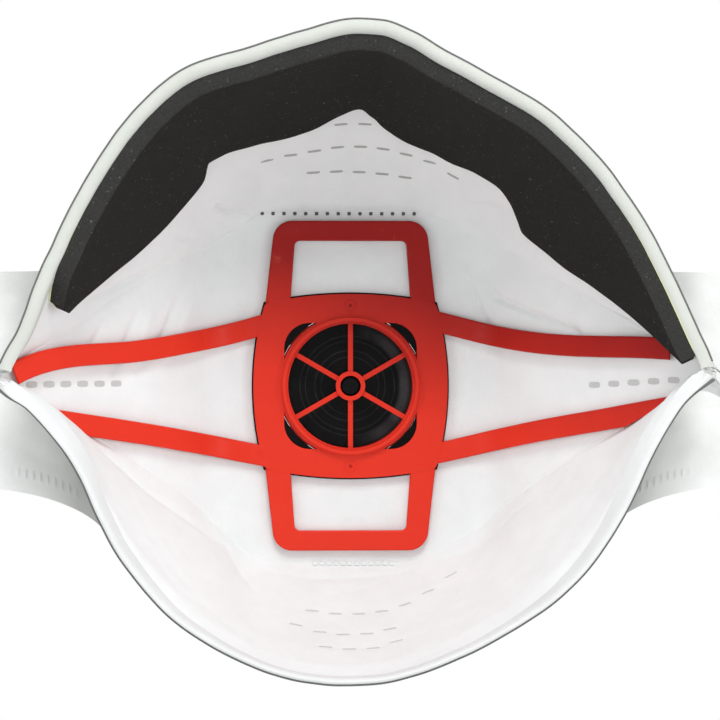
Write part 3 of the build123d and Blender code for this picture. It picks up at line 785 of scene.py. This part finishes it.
def rim_edge(name, panel):
    """A hair-thin dark bead along the outermost line of a rim band: painted shade for the dark line where the
    rim turns away.
    """
    turns = np.linspace(0, 2 * math.pi, 10, endpoint=False)
    x, turn = np.meshgrid(stations(260, PANEL_X), turns, indexing="ij")
    reach = 0.35 + 0.2 * np.sin(turn)
    out = (0.18 + 0.2 * np.cos(turn)) / (1 - panel.squeeze)
    rings = panel.skin(x, 1 - reach / panel.depth(x), SHELL + out)
    return swept(name, rings, rim_line_shade, slot="band_fabric", sharp=80)


rim_edge("upper_rim_edge", upper)
rim_edge("lower_rim_edge", lower)


def outline(half_length, half_width, count=20):
    """A rounded rectangle's outline."""
    turns = np.linspace(0, 2 * math.pi, count, endpoint=False)
    cos, sin = np.cos(turns), np.sin(turns)
    return np.stack([
        half_length * np.sign(cos) * np.abs(cos) ** 0.55, half_width * np.sign(sin) * np.abs(sin) ** 0.55,
    ], axis=-1)


def weld_marks(name, panel, lines, half_length, half_width, material, rise=0.1):
    """Flat fused patches, one on each weld line, standing rise mm over the dent in the lining."""
    points, faces = [], []
    for line in lines:
        (x0, s0), (x1, s1) = line
        ends = panel.skin(np.array([x0, x1]), np.array([s0, s1]), 0.0)
        middle = panel.skin(np.array((x0 + x1) / 2), np.array((s0 + s1) / 2), 0.0)
        deeper = panel.skin(np.array((x0 + x1) / 2), np.array((s0 + s1) / 2), 1.0)
        along = (ends[1] - ends[0]) / np.linalg.norm(ends[1] - ends[0])
        inward = (middle - deeper) / np.linalg.norm(middle - deeper)
        across = np.cross(inward, along)
        rings = []
        for scale, height in ((1.12, -0.3), (1.0, rise), (0.86, rise + 0.03), (0.6, rise - 0.02)):
            flat = outline(half_length, half_width) * scale
            rings.append(middle + flat[:, :1] * along + flat[:, 1:] * across + height * inward)
        faces += swept_faces(len(rings), len(rings[0]), len(points))
        points += list(np.concatenate(rings))
    return add_piece(name, points, faces, material, slot="lining_fabric")


def seam_marks(first, pitch, count, z):
    """Short lines along a seam of the centre panel, at even steps and at height z."""
    xs = [first + pitch * i for i in range(count)]
    return [((x - 0.05, front.share_at(x, z)), (x + 0.05, front.share_at(x, z))) for x in xs]


seam_dots = seam_marks(-18.9, 2.33, 15, 34.3)
seam_crimps = seam_marks(-7.6, 1.5, 12, -40.7)
weld_marks("upper_weld_dashes", upper, upper_dashes, 1.4, 0.27, fused)
weld_marks("lower_weld_dashes", lower, lower_dashes, 1.4, 0.22, fused_light)
weld_marks("side_weld_marks", front, front_weld_lines, 1.45, 0.62, fused_light)
# The upper seam's dots are raised patches coloured with painted shade.
weld_marks("upper_seam_dots", front, seam_dots, 0.36, 0.36, pinhole_painted_shade, rise=0.2)
weld_marks("lower_seam_crimps", front, seam_crimps, 0.5, 0.42, fabric_inside, rise=0.45)


def seam_bead(name, panel, reach=68.6):
    """The welded seam between the centre panel and another: a soft flat bead over both edges."""
    turns = np.linspace(0, 2 * math.pi, 12, endpoint=False)
    x, turn = np.meshgrid(stations(240, reach), turns, indexing="ij")
    share = front.share_at(x, panel.seam(x) + 0.75 * np.cos(turn))
    rings = front.skin(x, share, 0.16 + 0.24 * np.sin(turn))
    return swept(name, rings, fabric_inside, slot="lining_fabric", sharp=80)


seam_bead("upper_seam", upper)
seam_bead("lower_seam", lower)


# ---------------------------------------------------------------- nose foam, its tape and the nose clip

# Pairs of places (x, share) on the foam's edge along the rim and on its edge towards the seam
FOAM_EDGES = (
    ((-61.8, 0.60), (-60.5, 0.38)), ((-61.2, 0.88), (-57.5, 0.32)), ((-60, 0.975), (-53.5, 0.27)),
    ((-57.5, 0.985), (-48, 0.25)), ((-54, 0.985), (-43.5, 0.266)), ((-49, 0.985), (-38.5, 0.32)),
    ((-43, 0.985), (-33.3, 0.40)), ((-39, 0.985), (-31.8, 0.49)), ((-35, 0.985), (-28, 0.487)),
    ((-22, 0.985), (-17, 0.414)), ((-12, 0.985), (-10, 0.436)), ((-3, 0.985), (-3.4, 0.503)),
    ((1, 0.985), (1.2, 0.542)), ((4.5, 0.985), (3.8, 0.50)), ((9, 0.985), (8, 0.431)),
    ((15, 0.985), (13, 0.38)), ((22, 0.985), (20, 0.363)), ((30, 0.985), (27, 0.402)),
    ((36, 0.985), (31.9, 0.414)), ((41, 0.985), (34.8, 0.36)), ((45.5, 0.985), (36.6, 0.279)),
    ((49, 0.985), (37.9, 0.215)), ((53, 0.985), (42, 0.19)), ((57, 0.985), (46.5, 0.166)),
    ((61, 0.985), (52.7, 0.17)), ((64.5, 0.985), (58.8, 0.178)), ((67.8, 0.97), (64, 0.18)),
    ((68.3, 0.80), (67, 0.17)),
)
FOAM_BACK = -0.42
FOAM_FACE = -3.75
TAPE_BACK = -0.08
TAPE_FACE = -0.36


def foam_strip(name, material, back, face, grow, round_edge, slot, cut_material=None, count=260, **facts):
    """A strip between the foam's edges, or past them by grow of its width, rounded along its face's edges.

    cut_material is that of its side along the rim, where the foam was cut; for the foam it is a lighter copy,
    painted light on that edge.
    """
    outer = smooth_path([pair[0] for pair in FOAM_EDGES], count)
    inner = smooth_path([pair[1] for pair in FOAM_EDGES], count)
    across = [(0.0, back), (0.0, face + round_edge), (0.008, face + 0.3 * round_edge), (0.03, face)]
    across += [(w, face) for w in np.linspace(0.06, 0.94, 30)]
    across += [(0.97, face), (0.992, face + 0.3 * round_edge), (1.0, face + round_edge), (1.0, back)]
    across += [(w, back) for w in np.linspace(0.95, 0.05, 16)]
    share = np.array([w for w, _ in across])
    share = share * (1 + 2 * grow) - grow
    layer = np.array([depth for _, depth in across])
    places = outer[:, None, :] + share[None, :, None] * (inner - outer)[:, None, :]
    rings = upper.smooth_skin(places[..., 0], places[..., 1], layer[None, :] + 0 * places[..., 0])
    strip = swept(name, rings, material, slot=slot, **facts)
    if cut_material:
        strip.data.materials.append(cut_material)
        for i, polygon in enumerate(strip.data.polygons):
            if i % len(across) < 2 and len(polygon.vertices) == 4:
                polygon.material_index = 1
    return strip


nose_foam = foam_strip(
    "nose_foam", foam, FOAM_BACK, FOAM_FACE, 0.0, 0.5, "foam", cut_material=foam_lit_cut_edge, replaces=["nose_foam"],
)
foam_strip(
    "foam_adhesive_tape", tape, TAPE_BACK, TAPE_FACE, 0.004, 0.05, "adhesive_tape",
    replaces=["foam_adhesive_tape"],
)


def nose_clip():
    """A soft aluminium strip bonded to the outside of the upper panel, just below its rim."""
    xs = np.linspace(-42, 42, 120)
    flat = outline(0.04, 0.42, 20)
    rings = [upper.skin(np.full(20, x), 0.86 + flat[:, 0], 2.35 + flat[:, 1]) for x in xs]
    return swept("nose_clip", np.array(rings), aluminium, slot="clip_metal", replaces=["nose_clip"])


nose_clip()


# ---------------------------------------------------------------- side wings and headbands

WING_T = 0.8
WING_Y = 16.4
WING_TOP = box_mm("left_side_wing")[1][2]
WING_BOTTOM = box_mm("left_side_wing")[0][2]
WING_TIP_X = box_mm("right_side_wing")[1][0]
TOOTH_PITCH = 1.5
TOOTH_DEPTH = 0.35
TEETH_UP, TEETH_ALONG = 0.10, 0.36  # middle of the row of teeth, as shares of the wing's height and reach
TEETH_HEIGHT, TEETH_REACH = 0.022, 0.19  # half the row's size, as the same shares

# Where the wing leaves the mask, from its lowest corner to its top
WING_ROOT = (
    (50.2, 2.4, -29.6), (51.8, 7.0, -25.0), (53.2, 12.5, -19.0), (54.6, 17.2, -11.0),
    (55.4, 18.8, -2.0), (56.6, 17.0, 6.0), (58.8, 11.0, 13.5), (61.8, 2.6, 20.3),
)


def wing_point(side, along, up):
    """Middle of the wing's fabric: along runs from root (0) to tip (1), up from lower to upper edge."""
    order = np.linspace(0, 1, len(WING_ROOT))
    columns = np.array(WING_ROOT).T
    root = np.stack([smooth_curve(np.column_stack((order, column)))(up) for column in columns], axis=-1)
    level = WING_BOTTOM + up * (WING_TOP - WING_BOTTOM)
    tip = np.stack([WING_TIP_X + 0 * up, WING_Y + 0 * up, level], axis=-1)
    middle = np.stack([63.0 - 3.0 * (1 - up), WING_Y + 0.3 + 0 * up, level], axis=-1)
    t = along[..., None]
    point = (1 - t) ** 2 * root + 2 * t * (1 - t) * middle + t**2 * tip
    return point * np.array([side, 1.0, 1.0])


def side_wing(side, name):
    """A wing: a soft tab with a row of weld teeth along its lower edge, near the body."""
    along, up = np.meshgrid(np.linspace(0, 1, 190), np.linspace(0, 1, 120), indexing="ij")
    skins = []
    for offset in (-WING_T / 2, WING_T / 2):
        point = wing_point(side, along, up)
        ripple = 0.35 * unevenness(point, 14, 31 + side) + 0.1 * unevenness(point, 5, 37)
        point[..., 1] += offset + ripple * np.sin(math.pi * np.clip(along * 1.2, 0, 1))
        row = np.exp(-(((up - TEETH_UP) / TEETH_HEIGHT) ** 4))
        row = row * np.exp(-(((along - TEETH_ALONG) / TEETH_REACH) ** 8))
        teeth = np.clip(np.cos(2 * math.pi * point[..., 0] / TOOTH_PITCH), 0, 1) ** 0.7
        point[..., 1] -= TOOTH_DEPTH * row * teeth
        skins.append(point)
    node = f"{name}_side_wing"
    wing = shell(node, *skins, fabric_wing, body=None, slot="cover_fabric", replaces=[node])
    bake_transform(wing)


side_wing(-1, "left")
side_wing(1, "right")

STRAP_W = 7.0
STRAP_T = 0.9
STRAP_ROUTE = (
    (0, 50.6), (19, 50.6), (26, 49.6), (33, 46.3), (74, 21.4), (80, 18.6), (85, 17.95), (91, 18.0),
)
STRAP_RIBS = 6
RIB_DEPTH = 0.16  # the most of a headband's thickness that its ribbing takes away, as a share


def strap_half(side, name, middle_z, end_z):
    """Half a headband, from the middle of the mask's front to its end on a wing, ribbed along its length."""
    plan_line = smooth_path(STRAP_ROUTE, 140)
    height = smooth_curve(((0, middle_z), (36, (middle_z + end_z) / 2), (73, end_z), (91, end_z)))
    section = outline(STRAP_W / 2, STRAP_T / 2, 72)
    rib = 1 - RIB_DEPTH * (0.5 + 0.5 * np.cos(2 * math.pi * STRAP_RIBS * (section[:, 0] / STRAP_W + 0.5)))
    section[:, 1] *= rib
    rings = []
    for i, (x, y) in enumerate(plan_line):
        ahead = plan_line[min(i + 1, len(plan_line) - 1)] - plan_line[max(i - 1, 0)]
        normal = np.array([ahead[1], -ahead[0]]) / np.linalg.norm(ahead)
        ring = np.stack([
            side * (x + normal[0] * section[:, 1]), y + normal[1] * section[:, 1], height(x) + section[:, 0],
        ], axis=-1)
        rings.append(ring)
    side_name = "right" if side > 0 else "left"
    strap = swept(
        f"{name}_{side_name}", np.array(rings), elastic, body=None, slot="elastic", replaces=[name], sharp=60,
    )
    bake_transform(strap)


for name, middle_z, end_z in (("upper_headband", 23.6, 14.0), ("lower_headband", -29.6, -15.4)):
    for side in (-1, 1):
        strap_half(side, name, middle_z, end_z)


# ---------------------------------------------------------------- parts kept from the CAD model

FINISHES = {
    "support_frame": red,
    "valve_gasket": rubber,
    "exhalation_diaphragm": rubber,
    "valve_base": black,
    "valve_cover": black,
    "left_strap_staples": steel,
    "right_strap_staples": steel,
}
for node, material in FINISHES.items():
    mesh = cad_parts[node].data
    mesh.materials.clear()
    mesh.materials.append(material)


# ---------------------------------------------------------------- camera, light and floor

CAMERA_TARGET = Vector((0.4, 0.0, 2.9)) * MM
CAMERA_TURN = math.radians(-2)
CAMERA_DISTANCE = 480 * MM
CAMERA_LENS = 123

# Name, place in metres, side in metres and power in watts
SOFTBOXES = (
    ("key", (0.03, -0.46, 0.62), 0.34, 3.7),
    ("fill", (-0.12, -0.75, -0.16), 0.4, 0.9),
    ("right", (0.60, -0.34, 0.06), 0.3, 1.4),
    ("left", (-0.60, -0.34, 0.06), 0.3, 1.0),
)
FLOOR_HALF = 500.0
FLOOR_Z = -150.0


def add_camera():
    """A level camera, turned a little to the left of straight ahead, looking into the mask."""
    camera = bpy.data.objects.new("camera", bpy.data.cameras.new("camera"))
    camera.data.lens = CAMERA_LENS
    camera.data.sensor_width = 36
    camera.data.clip_start = 0.01
    away = Vector((math.sin(CAMERA_TURN), -math.cos(CAMERA_TURN), 0))
    camera.location = CAMERA_TARGET + away * CAMERA_DISTANCE
    camera.rotation_euler = (-away).to_track_quat("-Z", "Y").to_euler()
    bpy.context.scene.collection.objects.link(camera)
    bpy.context.scene.camera = camera


def add_softbox(name, place, size, power):
    """A square softbox at place, turned to the mask."""
    light = bpy.data.lights.new(name, "AREA")
    light.size = size
    light.energy = power
    lamp = bpy.data.objects.new(name, light)
    lamp.location = place
    lamp.rotation_euler = (-Vector(place)).to_track_quat("-Z", "Y").to_euler()
    bpy.context.scene.collection.objects.link(lamp)


def add_world():
    """Soft studio surround, seen as plain white."""
    world = bpy.data.worlds.new("studio")
    bpy.context.scene.world = world
    world.use_nodes = True
    tree = world.node_tree
    tree.nodes.clear()
    seen = add_node(tree, "Background", Color=(1, 1, 1, 1), Strength=1.0).outputs["Background"]
    lit = add_node(tree, "Background", Color=(0.98, 0.99, 1, 1), Strength=0.62).outputs["Background"]
    ray = add_node(tree, "LightPath").outputs["Is Camera Ray"]
    mix = tree.nodes.new("ShaderNodeMixShader")
    tree.links.new(ray, mix.inputs[0])
    tree.links.new(lit, mix.inputs[1])
    tree.links.new(seen, mix.inputs[2])
    output = tree.nodes.new("ShaderNodeOutputWorld")
    tree.links.new(mix.outputs[0], output.inputs["Surface"])


def add_floor():
    """A pale matt table well below the mask, small enough to stay out of the front view."""
    material, tree, shader, place = new_material("floor_paper", Roughness=0.9)
    shade = noise(tree, place, 60, detail=2.0)
    paper = mix_colours(tree, shade, (0.82, 0.82, 0.82), (0.86, 0.86, 0.86))
    tree.links.new(paper, shader.inputs["Base Color"])
    half, height = FLOOR_HALF, FLOOR_Z
    corners = [(-half, -half, height), (half, -half, height), (half, half, height), (-half, half, height)]
    mesh = bpy.data.meshes.new("floor")
    mesh.from_pydata((np.array(corners) * MM).tolist(), [], [(0, 1, 2, 3)])
    mesh.materials.append(material)
    floor = bpy.data.objects.new("floor", mesh)
    bpy.context.scene.collection.objects.link(floor)


add_camera()
for softbox in SOFTBOXES:
    add_softbox(*softbox)
add_world()
add_floor()
bpy.context.scene.view_settings.view_transform = "Standard"
